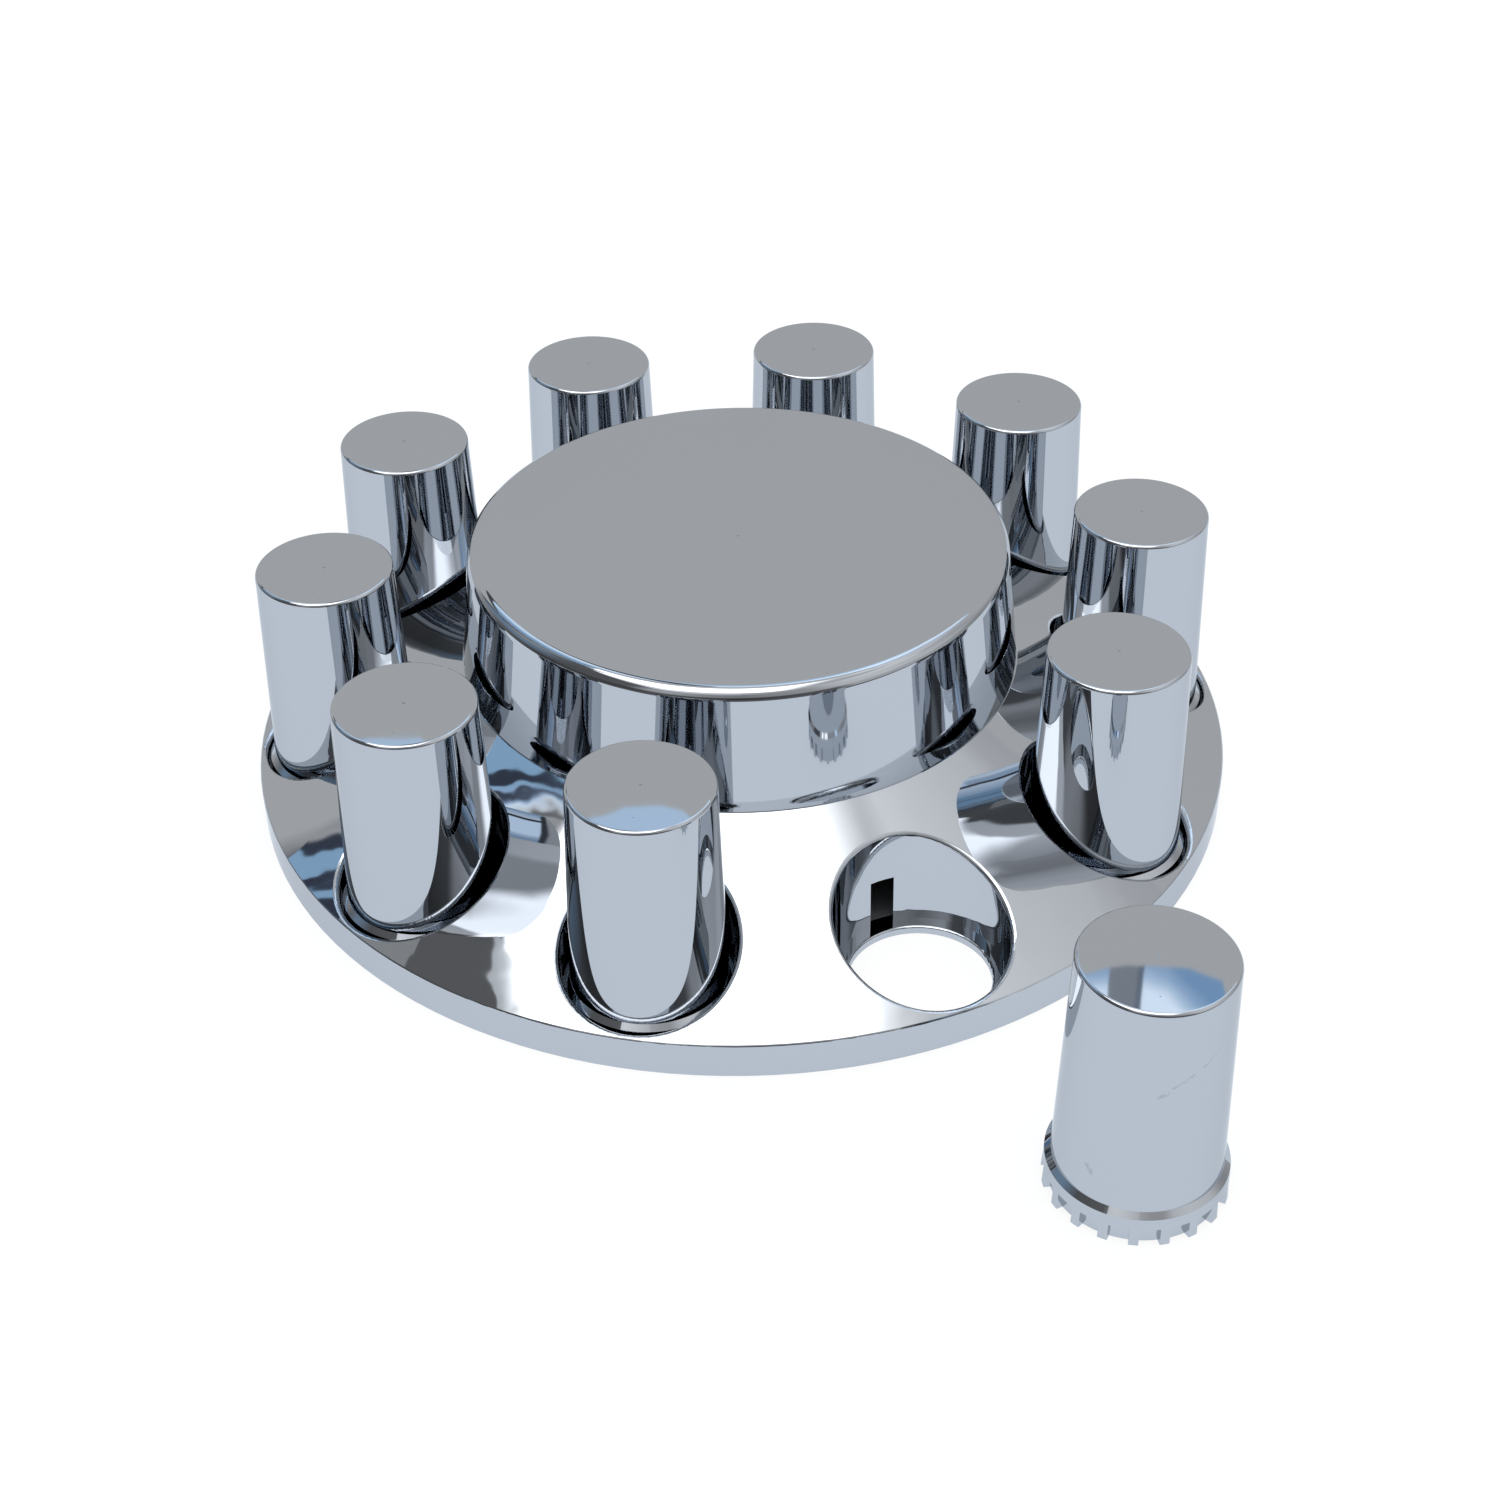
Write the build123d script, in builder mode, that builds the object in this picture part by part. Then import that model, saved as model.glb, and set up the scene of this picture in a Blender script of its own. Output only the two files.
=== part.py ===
from build123d import *
import os
from math import cos, radians, sin, tan

os.makedirs("parts", exist_ok=True)

# Rear axle cover for a ten-stud truck wheel: a chromed plate with ten nut sockets, a flat-topped
# hub cap over its centre and ten tall nut covers, nine of them in their sockets.
# Lengths in millimetres. The wheel axis is Z, the table or wheel face is Z = 0.

# Wheel pattern
pitch_circle = 285.75
positions = 10
pitch_angle = 360 / positions
open_position = 8
pitch_radius = pitch_circle / 2

# Base plate: a cone that falls from the hub to a short upright rim
plate_wall = 2.5
plate_angle = 23.8
rim_height = 12.6
rim_wall = 2.8
rim_rounding = 0.7

# Sockets: round wells through the plate, each with a ledge at its foot
socket_radius = 28.4
socket_draft = 1.0
socket_wall = 2.4
ledge_thickness = 2.8
nut_opening_radius = 23.6
mouth_rounding = 1.5
ledge_rounding = 0.8
window_width = 8.5
window_height = 18.2

# Hub cap: a shallow cup turned over the middle of the plate
cap_foot_radius = 98.6
cap_top_height = 90.6
cap_draft = 5.9
cap_wall = 2.5
cap_rounding = 4.35
collar_height = 8.0
collar_wall = 2.5
collar_gap = 0.3
seat_margin = 0.4

# Nut covers: tall cups with a toothed flange, threaded over the nuts' corners
cover_height = 86.4
cover_top_radius = 23.55
cover_draft = 1.65
cover_wall = 2.4
cover_rounding = 1.2
flange_radius = 28.0
flange_draft = 2.9
flange_height = 10.0
flange_bevel = 1.7
tooth_count = 19
tooth_width = 2.95
tooth_depth = 2.1
flange_lip = 3.9
nut_corner_radius = 19.05
nut_clearance = 0.25
thread_length = 26.0
thread_lead_in = 1.5

# The cover that is off its stud stands on the table in front of its socket
loose_distance = 247.8
loose_bearing = -67.8
loose_tooth_turn = 9.6

# Sizes that follow from the ones above
rim_radius = pitch_radius + socket_radius + rim_wall + ledge_thickness * tan(radians(socket_draft))
plate_rise = tan(radians(plate_angle))
plate_drop = plate_wall / cos(radians(plate_angle))
seat_radius = cap_foot_radius + seat_margin
seat_height = rim_height + (rim_radius - seat_radius) * plate_rise
bore_radius = nut_corner_radius + nut_clearance
past_rim = 2 * rim_radius
past_collar = 2 * seat_height
past_socket_wall = 3 * socket_wall
past_teeth = 4 * tooth_depth


def plate_top(radius):
    """Height of the plate's outer face at a distance from the wheel axis."""
    return rim_height + (rim_radius - radius) * plate_rise


def cap_radius(height):
    """Outer radius of the hub cap's wall."""
    return cap_foot_radius - (height - seat_height) * tan(radians(cap_draft))


# Base cover
collar_foot = cap_radius(seat_height) - cap_wall - collar_gap
collar_top = cap_radius(seat_height + collar_height) - cap_wall - collar_gap
collar_bore = collar_top - collar_wall
under_seat = seat_height - plate_wall
under_rim = rim_height - plate_drop + rim_wall * plate_rise

with BuildPart() as base_cover:
    # Solid posts that become the socket tubes, cut off inside the thickness of plate and rim
    with BuildSketch(Plane.XY):
        with PolarLocations(pitch_radius, positions):
            Circle(socket_radius + socket_wall)
    extrude(amount=seat_height)
    post_limit = rim_radius - rim_wall / 2
    with BuildSketch(Plane.XZ):
        with BuildLine():
            Polyline(
                (post_limit, -rim_height),
                (post_limit, plate_top(post_limit) - plate_drop / 2),
                (collar_bore, plate_top(collar_bore) - plate_drop / 2),
                (collar_bore, past_collar),
                (past_rim, past_collar),
                (past_rim, -rim_height),
                close=True,
            )
        make_face()
    revolve(axis=Axis.Z, mode=Mode.SUBTRACT)

    # The shell: rim, cone, flat seat for the hub cap and the collar inside it
    with BuildSketch(Plane.XZ):
        with BuildLine():
            Polyline(
                (rim_radius, 0),
                (rim_radius, rim_height),
                (seat_radius, seat_height),
                (collar_foot, seat_height),
                (collar_top, seat_height + collar_height),
                (collar_bore, seat_height + collar_height),
                (collar_bore, under_seat),
                (seat_radius, under_seat),
                (rim_radius - rim_wall, under_rim),
                (rim_radius - rim_wall, 0),
                close=True,
            )
        make_face()
    revolve(axis=Axis.Z)
    rim_edges = base_cover.edges().filter_by(GeomType.CIRCLE).group_by(SortBy.RADIUS)[-1]
    fillet(rim_edges.sort_by(Axis.Z)[-1], rim_rounding)

    # Wells down to the ledges, and the openings that the wheel nuts pass through
    with BuildSketch(Plane.XY.offset(ledge_thickness)):
        with PolarLocations(pitch_radius, positions):
            Circle(socket_radius)
    extrude(amount=seat_height, taper=-socket_draft, mode=Mode.SUBTRACT)
    plate_face = base_cover.faces().filter_by(GeomType.CONE).sort_by(SortBy.AREA)[-1]
    mouth_edges = plate_face.edges().filter_by(GeomType.CIRCLE, reverse=True)
    fillet(mouth_edges, mouth_rounding)
    with BuildSketch(Plane.XY):
        with PolarLocations(pitch_radius, positions):
            Circle(nut_opening_radius)
    extrude(amount=ledge_thickness, mode=Mode.SUBTRACT)
    ledge_edges = base_cover.edges(Select.LAST).group_by(Axis.Z)[-1]
    fillet(ledge_edges, ledge_rounding)

    # One window low in each well, on the side that faces the hub
    with BuildSketch(Plane.XY.offset(ledge_thickness)):
        with PolarLocations(pitch_radius - socket_radius - socket_wall / 2, positions):
            Rectangle(past_socket_wall, window_width)
    extrude(amount=window_height, mode=Mode.SUBTRACT)
base_cover.part.label = "base_cover"
export_step(base_cover.part, "parts/base_cover.step")

# Hub cap
with BuildPart() as hub_cap:
    inner_top = cap_top_height - cap_wall
    with BuildSketch(Plane.XZ):
        with BuildLine():
            Polyline(
                (cap_foot_radius, seat_height),
                (cap_radius(cap_top_height), cap_top_height),
                (0, cap_top_height),
                (0, inner_top),
                (cap_radius(inner_top) - cap_wall, inner_top),
                (cap_foot_radius - cap_wall, seat_height),
                close=True,
            )
        make_face()
    revolve(axis=Axis.Z)
    cap_edge = hub_cap.edges().filter_by(GeomType.CIRCLE).group_by(Axis.Z)[-1]
    fillet(cap_edge, cap_rounding)
hub_cap.part.label = "hub_cap"
export_step(hub_cap.part, "parts/hub_cap.step")


def cover_radius(height):
    """Outer radius of a nut cover's body, from its own foot."""
    return cover_top_radius + (cover_height - height) * tan(radians(cover_draft))


# Nut cover, built at its own foot
with BuildPart() as nut_cover:
    body_foot = flange_height + flange_bevel
    tooth_root = flange_radius - tooth_depth
    lip_radius = flange_radius - flange_height * tan(radians(flange_draft))
    with BuildSketch(Plane.XZ):
        with BuildLine():
            Polyline(
                (flange_radius, 0),
                (lip_radius, flange_height),
                (cover_radius(body_foot), body_foot),
                (cover_top_radius, cover_height),
                (0, cover_height),
                (0, cover_height - cover_wall),
                (cover_radius(cover_height - cover_wall) - cover_wall, cover_height - cover_wall),
                (cover_radius(thread_length) - cover_wall, thread_length),
                (bore_radius, thread_length),
                (bore_radius, thread_lead_in),
                (bore_radius + thread_lead_in, 0),
                close=True,
            )
        make_face()
    revolve(axis=Axis.Z)
    cover_edge = nut_cover.edges().filter_by(GeomType.CIRCLE).group_by(Axis.Z)[-1]
    fillet(cover_edge, cover_rounding)

    # Gaps between the flange's teeth
    with BuildSketch(Plane.XY):
        Circle(flange_radius + tooth_depth)
        Circle(tooth_root, mode=Mode.SUBTRACT)
        with PolarLocations(flange_radius, tooth_count):
            Rectangle(past_teeth, tooth_width, mode=Mode.SUBTRACT)
    extrude(amount=flange_height - flange_lip, mode=Mode.SUBTRACT)


def place_nut_cover(number, radius, bearing, height, turn):
    """Write one nut cover at a bearing around the wheel axis."""
    spot = (radius * cos(radians(bearing)), radius * sin(radians(bearing)), height)
    cover = nut_cover.part.moved(Location(spot, (0, 0, turn)))
    cover.label = f"nut_cover_{number:02d}"
    export_step(cover, f"parts/{cover.label}.step")


for position in range(positions):
    bearing = position * pitch_angle
    if position == open_position:
        place_nut_cover(position + 1, loose_distance, loose_bearing, 0, loose_tooth_turn)
    else:
        place_nut_cover(position + 1, pitch_radius, bearing, ledge_thickness, bearing)
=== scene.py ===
from math import asin, cos, pi, radians, sin, tan

import bpy
from mathutils import Matrix, Vector


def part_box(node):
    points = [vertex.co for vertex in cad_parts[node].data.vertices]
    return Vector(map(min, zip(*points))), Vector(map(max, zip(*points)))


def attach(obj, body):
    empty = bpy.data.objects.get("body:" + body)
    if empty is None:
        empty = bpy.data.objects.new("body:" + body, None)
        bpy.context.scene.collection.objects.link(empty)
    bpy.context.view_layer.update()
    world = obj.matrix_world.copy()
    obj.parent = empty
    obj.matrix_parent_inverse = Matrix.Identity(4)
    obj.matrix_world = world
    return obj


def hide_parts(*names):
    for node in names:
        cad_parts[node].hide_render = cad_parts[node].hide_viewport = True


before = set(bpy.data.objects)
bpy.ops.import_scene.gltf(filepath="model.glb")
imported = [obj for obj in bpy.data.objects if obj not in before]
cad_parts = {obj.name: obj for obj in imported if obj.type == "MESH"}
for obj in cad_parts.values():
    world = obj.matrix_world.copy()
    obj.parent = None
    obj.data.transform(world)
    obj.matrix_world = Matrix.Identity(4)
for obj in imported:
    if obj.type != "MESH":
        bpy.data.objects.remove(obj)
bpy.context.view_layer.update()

# Chromed axle cover of a truck wheel. Lengths in metres, angles in degrees.

# Camera, from the ring of ten nut positions as the photograph shows it
camera_place = (-0.0714, -0.7413, 0.5523)
camera_bearing = 84.267
camera_tilt = 36.676
camera_roll = 0.883
camera_lens = 60.31
camera_sensor = 36.0

# Studio round the object. Its tones are radiance. Bearings count from studio_bearing to the right.
# Ceiling coordinates are the slopes right and ahead of a direction that rises by one.
studio_bearing = 84.5
backdrop_grey = (0.625, 0.628, 0.625)
light_blue = (0.66, 0.86, 1.10)
pale_blue = (1.15, 1.32, 1.52)
deep_blue = (0.28, 0.48, 0.75)
mid_blue = (0.45, 0.65, 0.92)
window_blue = (0.36, 0.58, 0.82)
pane_bright = (1.35, 1.60, 1.90)
dusk_blue = (0.22, 0.31, 0.42)
frame_dark = (0.085, 0.095, 0.110)
bar_dark = (0.05, 0.06, 0.09)
column_grey = (0.31, 0.34, 0.39)
column_dark = (0.19, 0.23, 0.30)
panel_grey = (0.37, 0.38, 0.38)
panel_dark = (0.155, 0.156, 0.160)
strip_grey = (0.74, 0.77, 0.79)
softbox_white = (3.0, 3.0, 3.0)
lowest_rise = 0.02

# Floor: the table that the object stands on, which ends in front of it
floor_size = 8.0
floor_colour = (0.90, 0.91, 0.92)
# Painted shade: the table under the plate is coloured grey for the shade that falls there
painted_shade_under_plate = (0.30, 0.31, 0.33)
floor_mirror_tint = (0.90, 0.97, 1.055)
table_front = 0.43
table_edge = 0.01
beyond_table = (0.06, 0.06, 0.07)
floor_white = 1.08

# Shares of plain white in the open table, as the camera sees it and as chrome mirrors it
white_seen = 0.80
white_mirrored = 0.88

# Where the table turns from shaded to open, inside the rim and round the open well's hole
shade_starts = 0.003
shade_ends = 0.001
hole_spill = 0.0008
hole_overlap = 0.0002

# Chrome plating. Dust is sized in cells of its pattern, the gate's dot in metres.
chrome_colour = (0.53, 0.555, 0.59)
glance_colour = (0.78, 0.79, 0.80)
chrome_roughness = 0.018
tone_spread = 0.015
cloud_scale = 9.0
film_scale = 14.0
film_roughness = 0.03
dust_scale = 42.0
dust_left_out = 0.50
dust_edge = 0.016
dust_core = 0.009
gate_edge = 0.0007
gate_core = 0.0004
gate_strength = 0.8
mark_colour = (0.30, 0.31, 0.32)
mark_strength = 0.7
mark_roughness = 0.25
smear_grain = 500.0

# Moulding waves of each piece: how many to the metre, and how deep
plate_waves = (65.0, 6e-5)
cap_waves = (40.0, 1.2e-5)
cover_waves = (50.0, 1.0e-5)

# Marks on the loose cover's wall: bearing, height, half width, half height, climb, strength
loose_marks = [
    (-139.6, 0.0232, 0.0024, 0.0020, -0.93, 0.6),
    (-76.0, 0.0625, 0.0130, 0.0008, 0.54, 0.55),
    (-91.0, 0.0580, 0.0045, 0.0015, 0.54, 0.6),
]

# Nut cover, from its own foot up
wheel_positions = 10
open_position = 8
cover_top_radius = 0.02355
cover_draft = 1.65
cover_wall = 0.0024
cover_rounding = 0.0012
flange_radius = 0.028
flange_draft = 2.9
flange_height = 0.010
flange_bevel = 0.0017
tooth_count = 19
tooth_width = 0.00295
tooth_depth = 0.0021
tooth_height = 0.0061
bore_radius = 0.0193
thread_length = 0.026
thread_lead_in = 0.0015
loose_cover_turn = 9.6
nut_opening_radius = 0.0236

# Hub cap
cap_draft = 5.9
cap_wall = 0.0025
cap_rounding = 0.00435

# Faces along curves: round the hub cap, over a rounded edge, across a tooth and across a gap
cap_steps = 360
arc_steps = 10
tooth_steps = 4
gap_steps = 8

# Light paths: mirrorings, and bounces in all
mirror_bounces = 7
all_bounces = 8


class Nodes:
    """Adds nodes to one node tree and joins them up."""

    def __init__(self, tree):
        self.tree = tree
        tree.nodes.clear()

    def add(self, kind, *values, **settings):
        """One node with its settings, and its inputs in order: numbers, colours or other nodes' outputs."""
        node = self.tree.nodes.new(kind)
        for name, value in settings.items():
            setattr(node, name, value)
        for socket, value in zip(node.inputs, values):
            self.put(socket, value)
        return node

    def put(self, socket, value):
        """Joins a node's output to an input, or sets the input to a number or colour."""
        if isinstance(value, bpy.types.NodeSocket):
            self.tree.links.new(value, socket)
        elif isinstance(value, tuple) and socket.type == "RGBA":
            socket.default_value = (*value, 1.0)
        else:
            socket.default_value = value

    def math(self, operation, *values):
        return self.add("ShaderNodeMath", *values, operation=operation).outputs[0]

    def plus(self, first, second):
        return self.math("ADD", first, second)

    def minus(self, first, second):
        return self.math("SUBTRACT", first, second)

    def times(self, first, second):
        return self.math("MULTIPLY", first, second)

    def dot(self, vector, fixed):
        node = self.add("ShaderNodeVectorMath", vector, fixed, operation="DOT_PRODUCT")
        return node.outputs["Value"]

    def step(self, value, low, high):
        """0 below low, 1 above high, smooth between; low may be above high."""
        node = self.add("ShaderNodeMapRange", value, low, high, 0.0, 1.0, interpolation_type="SMOOTHSTEP")
        return node.outputs[0]

    def within(self, value, low, high, soft):
        """1 between low and high, 0 outside, with edges as wide as soft."""
        rise = self.step(value, low - soft / 2, low + soft / 2)
        fall = self.step(value, high + soft / 2, high - soft / 2)
        return self.times(rise, fall)

    def line(self, value, points):
        """A line through points (value, height), straight between them and level outside."""
        total = points[0][1]
        for (low, start), (high, end) in zip(points, points[1:]):
            part = self.add("ShaderNodeMapRange", value, low, high, 0.0, end - start).outputs[0]
            total = self.plus(total, part)
        return total

    def mix(self, factor, first, second):
        """Two colours mixed by a factor from 0 to 1."""
        node = self.add("ShaderNodeMix", data_type="RGBA")
        first_colour, second_colour, mixed_colour = node.inputs[6], node.inputs[7], node.outputs[2]
        self.put(node.inputs["Factor"], factor)
        self.put(first_colour, first)
        self.put(second_colour, second)
        return mixed_colour

    def tones(self, value, stops):
        """Colour by value, straight between the stops (value, colour)."""
        low, high = stops[0][0], stops[-1][0]
        place = self.add("ShaderNodeMapRange", value, low, high, 0.0, 1.0).outputs[0]
        node = self.add("ShaderNodeValToRGB", place)
        elements = node.color_ramp.elements
        elements.remove(elements[1])
        for i, (at, colour) in enumerate(stops):
            position = (at - low) / (high - low)
            element = elements.new(position) if i else elements[0]
            element.position = position
            element.color = (*colour, 1.0)
        return node.outputs["Color"]

    def noise(self, vector, scale, detail=2.0):
        """Soft noise from 0 to 1."""
        node = self.add("ShaderNodeTexNoise", vector)
        node.inputs["Scale"].default_value = scale
        node.inputs["Detail"].default_value = detail
        return node.outputs["Fac"]


def make_camera():
    """The camera at the photograph's place and angle."""
    bearing, tilt, roll = radians(camera_bearing), radians(camera_tilt), radians(camera_roll)
    forward = Vector((cos(bearing) * cos(tilt), sin(bearing) * cos(tilt), -sin(tilt)))
    level = Vector((sin(bearing), -cos(bearing), 0))
    down = forward.cross(level)
    across = level * cos(roll) + down * sin(roll)
    upward = level * sin(roll) - down * cos(roll)
    data = bpy.data.cameras.new("camera")
    data.lens = camera_lens
    data.sensor_width = camera_sensor
    camera = bpy.data.objects.new("camera", data)
    turned = Matrix((across, upward, -forward)).transposed().to_4x4()
    camera.matrix_world = Matrix.Translation(camera_place) @ turned
    bpy.context.scene.collection.objects.link(camera)
    bpy.context.scene.camera = camera


def grey(level):
    """A neutral tone with the slight blue of daylight."""
    return (level, level * 1.01, level * 1.03)


def room_tones(n, across, bearing, height):
    """What stands round the table, at three heights: backdrop ahead, pale to the right, dark to the left."""
    low = n.tones(bearing, [
        (-180, grey(0.06)), (-165, grey(0.08)), (-150, grey(0.15)), (-138, grey(0.08)), (-100, grey(0.07)),
        (-70, grey(0.18)), (-56, grey(0.40)), (-49, backdrop_grey), (52, backdrop_grey), (60, grey(0.48)),
        (72, grey(0.38)), (86, grey(0.45)), (102, grey(0.58)), (135, grey(0.58)), (143, grey(0.15)),
        (180, grey(0.06)),
    ])
    middle = n.tones(bearing, [
        (-180, grey(0.30)), (-165, grey(0.38)), (-150, grey(0.55)), (-142, grey(0.50)), (-134, grey(0.15)),
        (-100, grey(0.12)), (-80, dusk_blue), (-56, dusk_blue), (-51, frame_dark), (-50.0, frame_dark),
        (-48.8, backdrop_grey), (52, backdrop_grey), (60, grey(0.60)), (70, grey(0.52)), (80, grey(0.62)),
        (98, grey(0.74)), (120, grey(0.82)), (138, grey(0.74)), (150, grey(0.48)), (180, grey(0.30)),
    ])
    top = n.tones(bearing, [
        (-180, grey(0.70)), (-160, grey(0.90)), (-142, grey(1.05)), (-95, grey(0.95)), (-91, grey(0.14)),
        (-70, grey(0.18)), (46, grey(0.84)), (80, grey(0.95)), (120, grey(0.90)),
        (138, grey(0.70)), (150, grey(0.48)), (165, grey(0.50)), (180, grey(0.60)),
    ])
    beside = n.times(n.step(bearing, -80, -85), n.step(across, -0.64, -0.67))
    top = n.mix(beside, top, grey(0.14))
    colour = n.mix(n.step(height, 13, 24), low, middle)
    return n.mix(n.step(height, 41, 47), colour, top)


def window_tones(n, bearing, height):
    """Above the backdrop: light windows with dark bars, then the ceiling up to the soft box."""
    pane = n.tones(bearing, [
        (-47, frame_dark), (-43, window_blue), (-38, window_blue), (-32, light_blue), (-12.5, pale_blue),
        (-11, frame_dark), (-4.8, frame_dark), (-4.5, light_blue), (9.8, light_blue),
        (16, pale_blue), (30, pale_blue), (38, light_blue), (44, grey(0.70)),
    ])
    low_pane = n.tones(bearing, [
        (-11, frame_dark), (-10.5, light_blue), (-8.4, light_blue), (-8.0, frame_dark),
        (-4.8, frame_dark), (-4.5, light_blue), (9.8, light_blue),
    ])
    colour = n.mix(n.step(height, 37.0, 37.4), low_pane, pane)
    high_pane = n.tones(bearing, [
        (-30, light_blue), (-12.5, pale_blue), (-11, frame_dark), (-4.8, frame_dark), (-3, pane_bright),
        (33, pane_bright), (41, light_blue), (46, mid_blue), (50, grey(0.70)),
    ])
    colour = n.mix(n.times(n.step(height, 53, 55), n.step(bearing, -32, -28)), colour, high_pane)
    lift = n.line(bearing, [(-30, -1.5), (50, 3.0)])
    over = n.minus(height, lift)
    rising = n.tones(over, [
        (60.2, frame_dark), (60.9, frame_dark), (61.3, grey(0.70)), (72, grey(0.70)), (77, grey(1.0)),
    ])
    return n.mix(n.step(over, 59.9, 60.3), colour, rising)


def near_edge_tones(n, bearing, height):
    """The sky over the backdrop that the loose cover's top mirrors, with a grey column in it."""
    middle = n.line(bearing, [
        (10.4, 41.65), (10.9, 41.55), (12.0, 41.35), (12.7, 41.5), (13.4, 41.9), (14.4, 42.4),
    ])
    colour = n.tones(n.minus(height, middle), [
        (-0.5, deep_blue), (-0.2, mid_blue), (0.0, light_blue), (0.3, pale_blue), (0.8, pale_blue),
    ])
    column = n.tones(bearing, [(11.75, column_grey), (11.85, column_dark)])
    return n.mix(n.within(bearing, 10.97, 11.97, 0.06), colour, column)


def left_tones(n, across, along, bearing, height):
    """Left of the soft box: the panes and bars of a window, and below them a panel with a light strip."""
    level = n.plus(along, n.times(across, 0.8))
    stripe = n.plus(height, n.times(bearing, 2.0))
    bars = n.tones(stripe, [
        (-71.0, bar_dark), (-70.6, window_blue), (-69.5, window_blue), (-69.3, bar_dark),
        (-68.1, bar_dark), (-67.9, window_blue), (-66.2, window_blue), (-66.0, bar_dark),
        (-64.8, bar_dark), (-64.3, grey(0.55)), (-63.6, grey(0.45)), (-63.1, grey(0.60)),
        (-62.9, grey(0.16)), (-62.3, grey(0.19)), (-62.0, grey(0.85)), (-61.5, pale_blue),
        (-61.2, mid_blue), (-60.9, bar_dark), (-60.5, bar_dark), (-60.3, mid_blue),
        (-59.6, window_blue), (-59.4, bar_dark), (-57.9, bar_dark), (-57.7, window_blue),
        (-56.0, window_blue),
    ])
    bars = n.mix(n.step(height, 61.6, 62.4), bars, softbox_white)
    inner_edge = n.plus(across, n.times(along, 0.75))
    panel = n.tones(across, [(-0.667, panel_grey), (-0.663, panel_dark)])
    panel = n.mix(n.step(inner_edge, -0.364, -0.360), panel, strip_grey)
    panel = n.mix(n.step(inner_edge, -0.338, -0.332), panel, softbox_white)
    return n.mix(n.step(level, -0.203, -0.207), bars, panel)


def right_tones(n, height):
    """Right of the backdrop: a pale wall that grows lighter towards the soft box."""
    return n.tones(height, [
        (41, grey(0.63)), (42, grey(0.58)), (46, grey(0.63)), (49, grey(0.77)), (56, grey(0.86)),
        (62, grey(0.95)), (67, grey(1.05)), (71, grey(0.80)), (75, grey(0.75)), (78, grey(1.0)),
    ])


def make_studio():
    """The world: soft box overhead, backdrop ahead, and the walls and ceiling that chrome mirrors."""
    world = bpy.data.worlds.new("studio")
    world.use_nodes = True
    bpy.context.scene.world = world
    n = Nodes(world.node_tree)
    direction = n.add("ShaderNodeTexCoord").outputs["Generated"]
    turn = radians(studio_bearing)
    ahead = n.dot(direction, (cos(turn), sin(turn), 0.0))
    right = n.dot(direction, (sin(turn), -cos(turn), 0.0))
    up = n.dot(direction, (0.0, 0.0, 1.0))
    bearing = n.math("DEGREES", n.math("ARCTAN2", right, ahead))
    height = n.math("DEGREES", n.math("ARCSINE", up))
    high = n.math("MAXIMUM", up, lowest_rise)
    across = n.math("DIVIDE", right, high)
    along = n.math("DIVIDE", ahead, high)

    # Ahead of the table, above the backdrop's top edge
    edge = n.line(bearing, [
        (-50, 33.5), (-12, 35.75), (-10.4, 35.83), (-9.0, 35.9), (-8.6, 36.3), (-4.6, 38.08),
        (-4.1, 38.05), (-3.4, 37.87), (-2.4, 37.87), (-1.7, 38.03), (-1.3, 38.4), (10.3, 41.45),
        (10.85, 41.27), (11.5, 41.13), (12.6, 41.13), (13.3, 41.06), (14.3, 41.2), (15.0, 43.0),
        (30, 43.0), (52, 41.0),
    ])
    windows = window_tones(n, bearing, height)
    left = left_tones(n, across, along, bearing, height)
    front = n.mix(n.step(bearing, -45.5, -46.5), windows, left)
    near = n.times(n.step(height, 44, 43), n.within(bearing, 10.2, 15.0, 0.1))
    front = n.mix(near, front, near_edge_tones(n, bearing, height))
    right_end = n.line(height, [(46, 42), (54, 46)])
    front = n.mix(n.step(n.minus(bearing, right_end), 0.0, 4.0), front, right_tones(n, height))
    above = n.times(n.step(n.minus(height, edge), -0.05, 0.05), n.step(along, 0.06, 0.09))
    above = n.times(above, n.within(bearing, -75, 100, 1.0))
    colour = n.mix(above, room_tones(n, across, bearing, height), front)
    rear_right = n.times(n.step(bearing, 76, 90), n.step(height, 56, 60))
    colour = n.mix(rear_right, colour, grey(0.64))

    # Soft box
    left_edge = n.line(along, [
        (-0.50, -0.48), (-0.20, -0.54), (0.08, -0.60), (0.09, -0.405), (0.24, -0.52),
    ])
    front_edge = n.line(across, [(-0.45, 0.24), (-0.25, 0.18)])
    sides = n.times(n.step(n.minus(across, left_edge), -0.02, 0.02), n.step(across, 0.34, 0.12))
    ends = n.times(n.step(n.minus(along, front_edge), 0.02, -0.02), n.step(along, -0.64, -0.44))
    box = n.times(sides, ends)
    colour = n.mix(box, colour, softbox_white)

    path = n.add("ShaderNodeLightPath")
    seen = n.add("ShaderNodeBackground", (1.0, 1.0, 1.0), 1.0).outputs[0]
    lit = n.add("ShaderNodeBackground", colour, 1.0).outputs[0]
    shader = n.add("ShaderNodeMixShader", path.outputs["Is Camera Ray"], lit, seen).outputs[0]
    n.add("ShaderNodeOutputWorld", shader)


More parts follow.
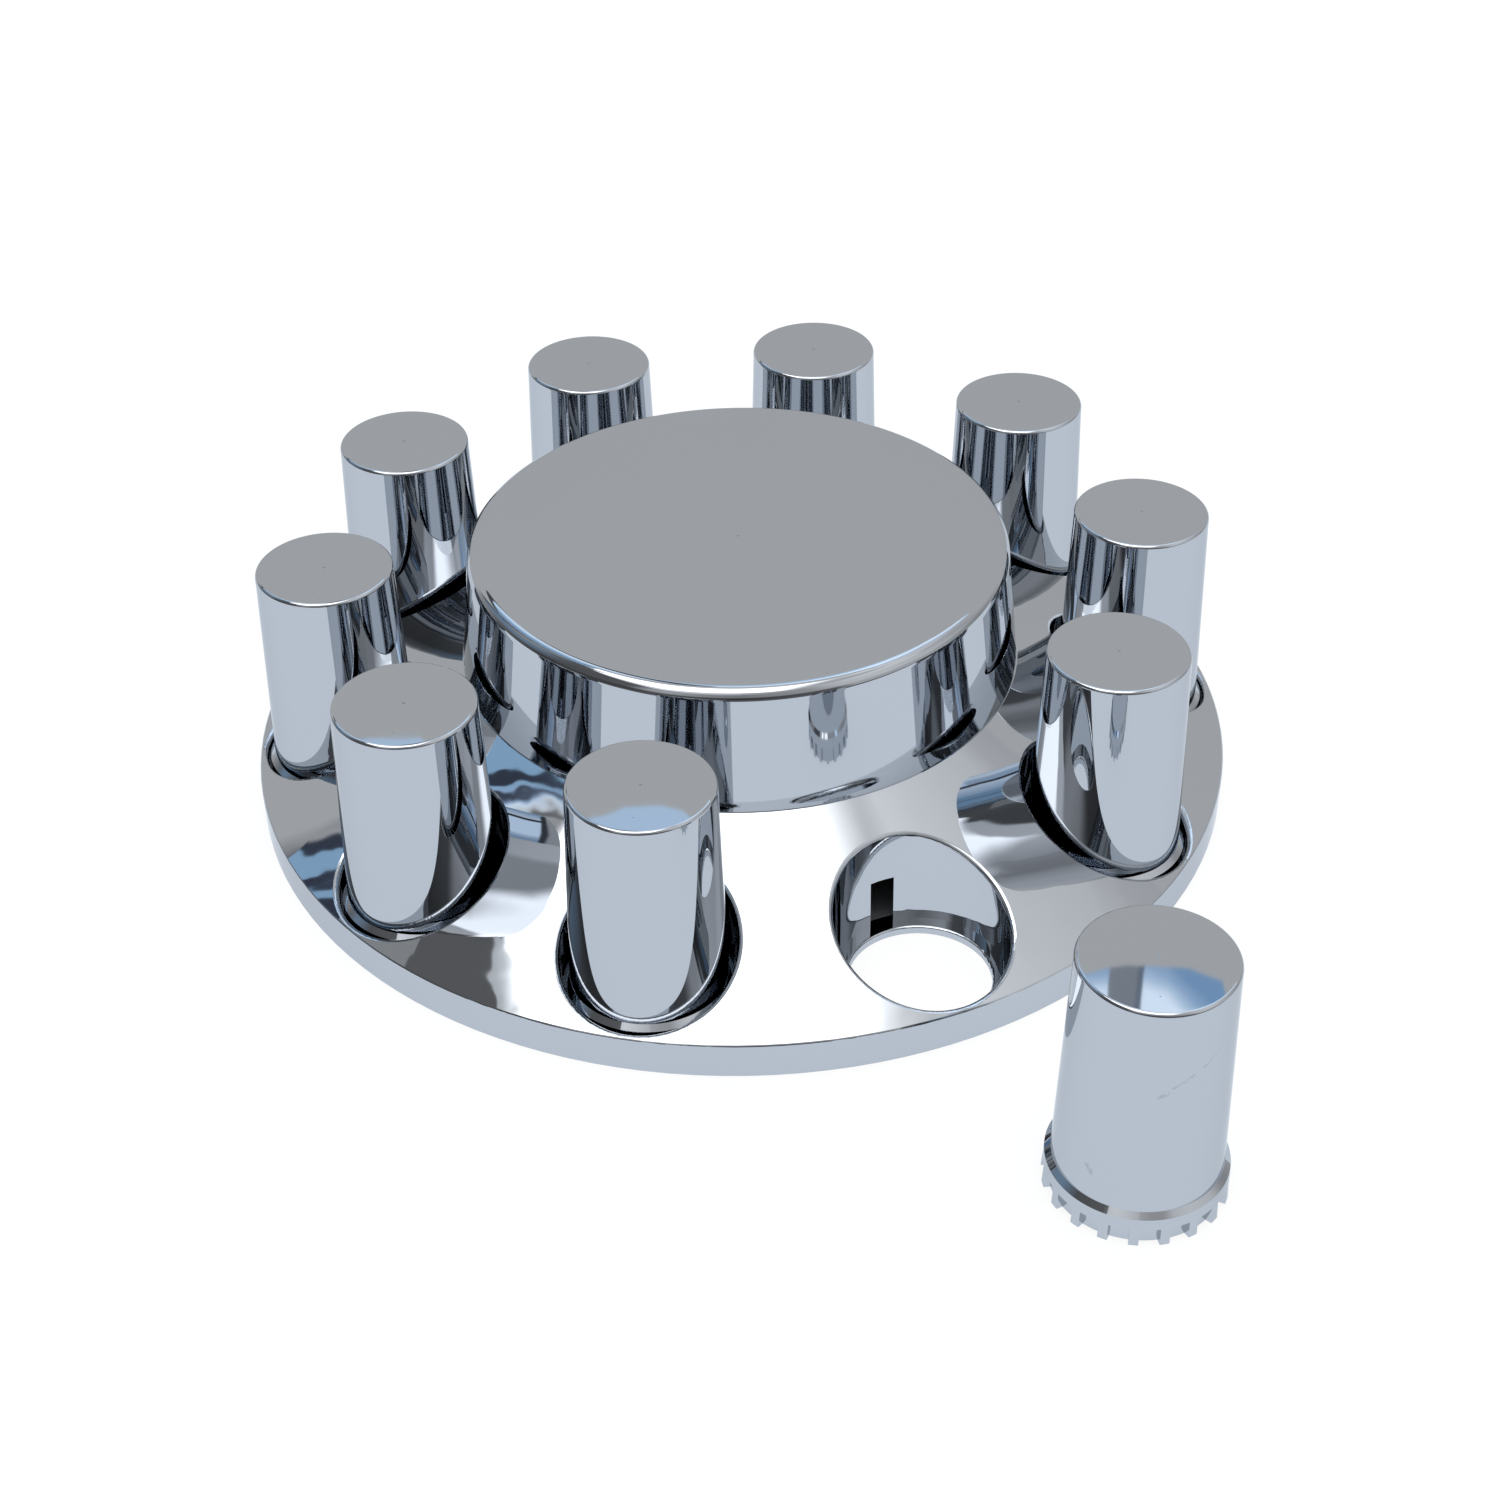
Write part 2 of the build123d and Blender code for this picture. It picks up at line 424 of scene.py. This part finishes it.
def make_floor():
    """A white table, painted grey under the plate as shade, and there only as bright as the light that
    reaches it.
    """
    bpy.ops.mesh.primitive_plane_add(size=floor_size)
    floor = bpy.context.object
    floor.name = "floor"
    material = bpy.data.materials.new("floor")
    material.use_nodes = True
    n = Nodes(material.node_tree)
    place = n.add("ShaderNodeTexCoord").outputs["Object"]
    away = n.add("ShaderNodeVectorMath", place, operation="LENGTH").outputs["Value"]
    low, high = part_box("base_cover")
    plate_radius = (high[0] - low[0]) / 2
    open_bearing = radians(open_position * 360 / wheel_positions)
    pitch_radius = centre("nut_cover_01").length
    hole = (pitch_radius * cos(open_bearing), pitch_radius * sin(open_bearing), 0.0)
    from_hole = n.add("ShaderNodeVectorMath", place, hole, operation="DISTANCE").outputs["Value"]
    outside = n.step(away, plate_radius - shade_starts, plate_radius - shade_ends)
    in_hole = n.step(from_hole, nut_opening_radius + hole_spill, nut_opening_radius - hole_overlap)
    open_air = n.math("MAXIMUM", outside, in_hole)

    turn = radians(studio_bearing)
    toward = n.dot(place, (-cos(turn), -sin(turn), 0.0))
    end = n.step(toward, table_front, table_front + table_edge)
    tint = n.mix(end, floor_mirror_tint, beyond_table)
    path = n.add("ShaderNodeLightPath")
    # Painted shade: grey table colour under the plate, white in the open and in the open well's hole
    shade = n.mix(open_air, painted_shade_under_plate, floor_colour)
    diffuse = n.add("ShaderNodeBsdfDiffuse", shade).outputs[0]
    white = n.add("ShaderNodeEmission", (1.0, 1.0, 1.0), floor_white).outputs[0]
    tinted = n.add("ShaderNodeEmission", tint, 1.0).outputs[0]
    seen = n.add("ShaderNodeMixShader", n.times(open_air, white_seen), diffuse, white).outputs[0]
    mirrored = n.add("ShaderNodeMixShader", n.times(open_air, white_mirrored), diffuse, tinted).outputs[0]
    shader = n.add("ShaderNodeMixShader", path.outputs["Is Glossy Ray"], diffuse, mirrored).outputs[0]
    shader = n.add("ShaderNodeMixShader", path.outputs["Is Camera Ray"], shader, seen).outputs[0]
    n.add("ShaderNodeOutputMaterial", shader)
    floor.data.materials.append(material)


def centre(node):
    """Where a node stands on the floor plan."""
    low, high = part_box(node)
    return Vector(((low[0] + high[0]) / 2, (low[1] + high[1]) / 2, 0.0))


def chrome(name, waves, gate_height=None, marks=()):
    """Plated plastic: mirror bright, with the moulding's faint waves, a little dust and the gate's dot."""
    wave_scale, wave_depth = waves
    material = bpy.data.materials.new(name)
    material.use_nodes = True
    n = Nodes(material.node_tree)
    place = n.add("ShaderNodeTexCoord").outputs["Object"]

    # Plating, slightly uneven in tone and polish
    dull = tuple(c * (1 - tone_spread) for c in chrome_colour)
    bright = tuple(c * (1 + tone_spread) for c in chrome_colour)
    tone = n.mix(n.noise(place, cloud_scale), dull, bright)
    film = n.step(n.noise(place, film_scale, 4.0), 0.45, 0.80)
    rough = n.plus(chrome_roughness, n.times(film, film_roughness))

    # Dust: few, small, dull specks
    cells = n.add("ShaderNodeTexVoronoi", place)
    cells.inputs["Scale"].default_value = dust_scale
    red = n.add("ShaderNodeSeparateColor", cells.outputs["Color"]).outputs[0]
    kept = n.step(red, dust_left_out, dust_left_out + 0.02)
    spots = n.times(n.step(cells.outputs["Distance"], dust_edge, dust_core), kept)
    if gate_height is not None:
        x, y, z = n.add("ShaderNodeSeparateXYZ", place).outputs
        off_axis = n.math("SQRT", n.plus(n.times(x, x), n.times(y, y)))
        on_top = n.step(z, gate_height - 0.001, gate_height - 0.0005)
        gate = n.times(n.step(off_axis, gate_edge, gate_core), on_top)
        spots = n.math("MAXIMUM", spots, n.times(gate, gate_strength))
    for mark in marks:
        spots = n.math("MAXIMUM", spots, mark(n, place))
    tone = n.mix(n.times(spots, mark_strength), tone, mark_colour)
    rough = n.plus(rough, n.times(spots, mark_roughness))

    bump = n.add("ShaderNodeBump")
    bump.inputs["Strength"].default_value = 1.0
    bump.inputs["Distance"].default_value = wave_depth
    n.put(bump.inputs["Height"], n.noise(place, wave_scale, 1.0))
    shader = n.add("ShaderNodeBsdfPrincipled")
    n.put(shader.inputs["Base Color"], tone)
    shader.inputs["Metallic"].default_value = 1.0
    n.put(shader.inputs["Specular Tint"], glance_colour)
    n.put(shader.inputs["Roughness"], rough)
    n.put(shader.inputs["Normal"], bump.outputs[0])
    n.add("ShaderNodeOutputMaterial", shader.outputs[0])
    return material


def smear(bearing, height, wide, tall, climb, strength):
    """A dull mark on a cover's wall, as a function that adds it to a material's nodes."""
    def paint(n, place):
        x, y, z = n.add("ShaderNodeSeparateXYZ", place).outputs
        turn = n.math("DEGREES", n.math("ARCTAN2", y, x))
        round_wall = n.times(n.minus(turn, bearing), pi / 180 * flange_radius)
        rise = n.minus(n.minus(z, height), n.times(round_wall, climb))
        broken = n.step(n.noise(place, smear_grain, 3.0), 0.40, 0.62)
        sideways = n.math("POWER", n.times(round_wall, 1 / wide), 2.0)
        upright = n.math("POWER", n.times(rise, 1 / tall), 2.0)
        shape = n.plus(sideways, upright)
        return n.times(n.times(n.step(shape, 1.0, 0.3), broken), strength)
    return paint


def straight(start, end):
    """A straight stretch of a profile with its two normals. Profiles run with the material on their left."""
    across, rise = end[0] - start[0], end[1] - start[1]
    long = (across * across + rise * rise) ** 0.5
    normal = (rise / long, -across / long)
    return [(start, normal), (end, normal)]


def rounded(before, corner, after, radius):
    """A rounded corner of a profile: points on the arc with their normals."""
    into = Vector((corner[0] - before[0], corner[1] - before[1])).normalized()
    out = Vector((after[0] - corner[0], after[1] - corner[1])).normalized()
    turn = into.angle_signed(out)
    reach = radius * tan(abs(turn) / 2)
    start = Vector(corner) - into * reach
    first = Vector((into.y, -into.x))
    hub = start - first * radius
    points = []
    for step in range(arc_steps + 1):
        normal = Matrix.Rotation(-turn * step / arc_steps, 2) @ first
        points.append((tuple(hub + normal * radius), tuple(normal)))
    return points


def runs(stretches):
    """Pairs of neighbouring profile points along every stretch."""
    for stretch in stretches:
        yield from zip(stretch, stretch[1:])


class Shell:
    """Collects faces whose corners carry their exact normals, and makes one mesh of them."""

    def __init__(self):
        self.index = {}
        self.points = []
        self.faces = []
        self.normals = []

    def corner(self, point):
        key = tuple(round(v, 7) for v in point)
        if key not in self.index:
            self.index[key] = len(self.points)
            self.points.append(point)
        return self.index[key]

    def face(self, corners):
        """A face from (point, normal) corners. A face that meets the axis loses its doubled corner."""
        kept = {}
        for point, normal in corners:
            kept.setdefault(self.corner(point), normal)
        if len(kept) > 2:
            self.faces.append(list(kept))
            self.normals.extend(kept.values())

    def mesh(self, name):
        mesh = bpy.data.meshes.new(name)
        mesh.from_pydata(self.points, [], self.faces)
        mesh.polygons.foreach_set("use_smooth", [True] * len(mesh.polygons))
        mesh.normals_split_custom_set(self.normals)
        mesh.update()
        return mesh


def spun(shell, run, near_angles, far_angles=None):
    """A strip of faces: one profile run at each angle of a list. Its far end may have other angles."""
    (near, near_normal), (far, far_normal) = run
    far_angles = far_angles or near_angles
    for i in range(len(near_angles) - 1):
        corners = []
        for (radius, height), (flat, rise), angle in (
            (near, near_normal, near_angles[i]), (near, near_normal, near_angles[i + 1]),
            (far, far_normal, far_angles[i + 1]), (far, far_normal, far_angles[i]),
        ):
            x, y = cos(angle), sin(angle)
            corners.append(((radius * x, radius * y, height), (flat * x, flat * y, rise)))
        shell.face(corners)


def cover_mesh(height, turn):
    """A nut cover at its own foot: a tapered, bored cup on a toothed flange. Its first tooth is at turn."""
    body_foot = flange_height + flange_bevel
    gap_floor = flange_radius - tooth_depth

    def body(z):
        return cover_top_radius + (height - z) * tan(radians(cover_draft))

    def flange(z):
        return flange_radius - z * tan(radians(flange_draft))

    inner_top = height - cover_wall
    foot, lip = (body(body_foot), body_foot), (flange(flange_height), flange_height)
    top, crown = (cover_top_radius, height), (0.0, height)
    inside = (body(inner_top) - cover_wall, inner_top)
    step = (body(thread_length) - cover_wall, thread_length)
    edge = rounded(foot, top, crown, cover_rounding)
    bore_top, bore_foot = (bore_radius, thread_length), (bore_radius, thread_lead_in)
    mouth = (bore_radius + thread_lead_in, 0.0)
    whole = [
        straight((flange(tooth_height), tooth_height), lip), straight(lip, foot), straight(foot, edge[0][0]),
        edge, straight(edge[-1][0], crown), straight((0.0, inner_top), inside), straight(inside, step),
        straight(step, bore_top), straight(bore_top, bore_foot), straight(bore_foot, mouth),
    ]
    pitch = 2 * pi / tooth_count

    def flank(radius):
        """Half the angle that a tooth takes at a radius: its two sides are parallel."""
        return asin(tooth_width / 2 / radius)

    def tooth_angles(middle, radius):
        half = flank(radius)
        return [middle + half * (2 * i / tooth_steps - 1) for i in range(tooth_steps + 1)]

    def gap_angles(middle, radius):
        start, end = middle + flank(radius), middle + pitch - flank(radius)
        return [start + (end - start) * i / gap_steps for i in range(gap_steps + 1)]

    shell = Shell()
    wide = flange(tooth_height)
    for tooth in range(tooth_count):
        middle = radians(turn) + tooth * pitch
        outer_tooth, outer_gap = tooth_angles(middle, wide), gap_angles(middle, wide)
        inner_tooth, inner_gap = tooth_angles(middle, gap_floor), gap_angles(middle, gap_floor)
        rim_tooth = tooth_angles(middle, flange_radius)
        outer, inner = outer_tooth[:-1] + outer_gap, inner_tooth[:-1] + inner_gap
        for run in runs(whole):
            spun(shell, run, outer)
        spun(shell, straight(mouth, (gap_floor, 0.0)), outer, inner)
        spun(shell, straight((flange_radius, 0.0), (wide, tooth_height)), rim_tooth, outer_tooth)
        spun(shell, straight((gap_floor, 0.0), (flange_radius, 0.0)), inner_tooth, rim_tooth)
        spun(shell, straight((gap_floor, 0.0), (gap_floor, tooth_height)), inner_gap)
        spun(shell, straight((gap_floor, tooth_height), (wide, tooth_height)), inner_gap, outer_gap)
        flank_corners = [
            (gap_floor, 0.0), (flange_radius, 0.0), (wide, tooth_height), (gap_floor, tooth_height),
        ]
        for side in (-1, 1):
            normal = (-side * sin(middle), side * cos(middle), 0.0)
            corners = []
            for radius, z in flank_corners:
                angle = middle + side * flank(radius)
                corners.append(((radius * cos(angle), radius * sin(angle), z), normal))
            shell.face(corners if side < 0 else corners[::-1])
    return shell.mesh("nut_cover")


def cap_mesh():
    """The hub cap: a shallow cup, turned over."""
    low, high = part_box("hub_cap")
    foot_radius = (high[0] - low[0]) / 2
    base, top = low[2], high[2]

    def outer(z):
        return foot_radius - (z - base) * tan(radians(cap_draft))

    foot, shoulder, crown = (foot_radius, base), (outer(top), top), (0.0, top)
    inner_top = top - cap_wall
    edge = rounded(foot, shoulder, crown, cap_rounding)
    inside = (outer(inner_top) - cap_wall, inner_top)
    heel = (foot_radius - cap_wall, base)
    shell = Shell()
    angles = [2 * pi * i / cap_steps for i in range(cap_steps + 1)]
    whole = [
        straight(foot, edge[0][0]), edge, straight(edge[-1][0], crown),
        straight((0.0, inner_top), inside), straight(inside, heel), straight(heel, foot),
    ]
    for run in runs(whole):
        spun(shell, run, angles)
    return shell.mesh("hub_cap_shell")


def show(name, mesh, node, material, place):
    """Adds a piece that takes a CAD node's place, attaches it to the root body and hides that node."""
    piece = bpy.data.objects.new(name, mesh)
    piece.location = place
    bpy.context.scene.collection.objects.link(piece)
    bpy.context.view_layer.update()
    mesh.materials.append(material)
    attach(piece, "root")
    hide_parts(node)


def dress_base():
    """The plate keeps its CAD mesh and gets the chrome."""
    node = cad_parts["base_cover"]
    node.data.materials.clear()
    node.data.materials.append(chrome("chrome_plate", plate_waves))


def dress_cap():
    """The hub cap, with exact normals in place of the CAD mesh's facets."""
    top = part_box("hub_cap")[1][2]
    show("hub_cap_shell", cap_mesh(), "hub_cap", chrome("chrome_cap", cap_waves, top), (0.0, 0.0, 0.0))


def dress_covers():
    """The ten nut covers, each where its node stands. The one off its stud has marks on its wall."""
    low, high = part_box("nut_cover_09")
    tall = high[2] - low[2]
    seated = chrome("chrome_cover", cover_waves, tall)
    loose = chrome("chrome_cover_loose", cover_waves, tall, [smear(*mark) for mark in loose_marks])
    for position in range(wheel_positions):
        node = f"nut_cover_{position + 1:02d}"
        place = centre(node)
        place.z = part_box(node)[0][2]
        off_stud = position == open_position
        turn = loose_cover_turn if off_stud else position * 360 / wheel_positions
        mesh = cover_mesh(tall, turn)
        show(f"cover_shell_{position + 1:02d}", mesh, node, loose if off_stud else seated, place)


bpy.context.scene.cycles.glossy_bounces = mirror_bounces
bpy.context.scene.cycles.max_bounces = all_bounces
make_camera()
make_studio()
make_floor()
dress_base()
dress_cap()
dress_covers()

bpy.context.scene.view_settings.view_transform = "Standard"
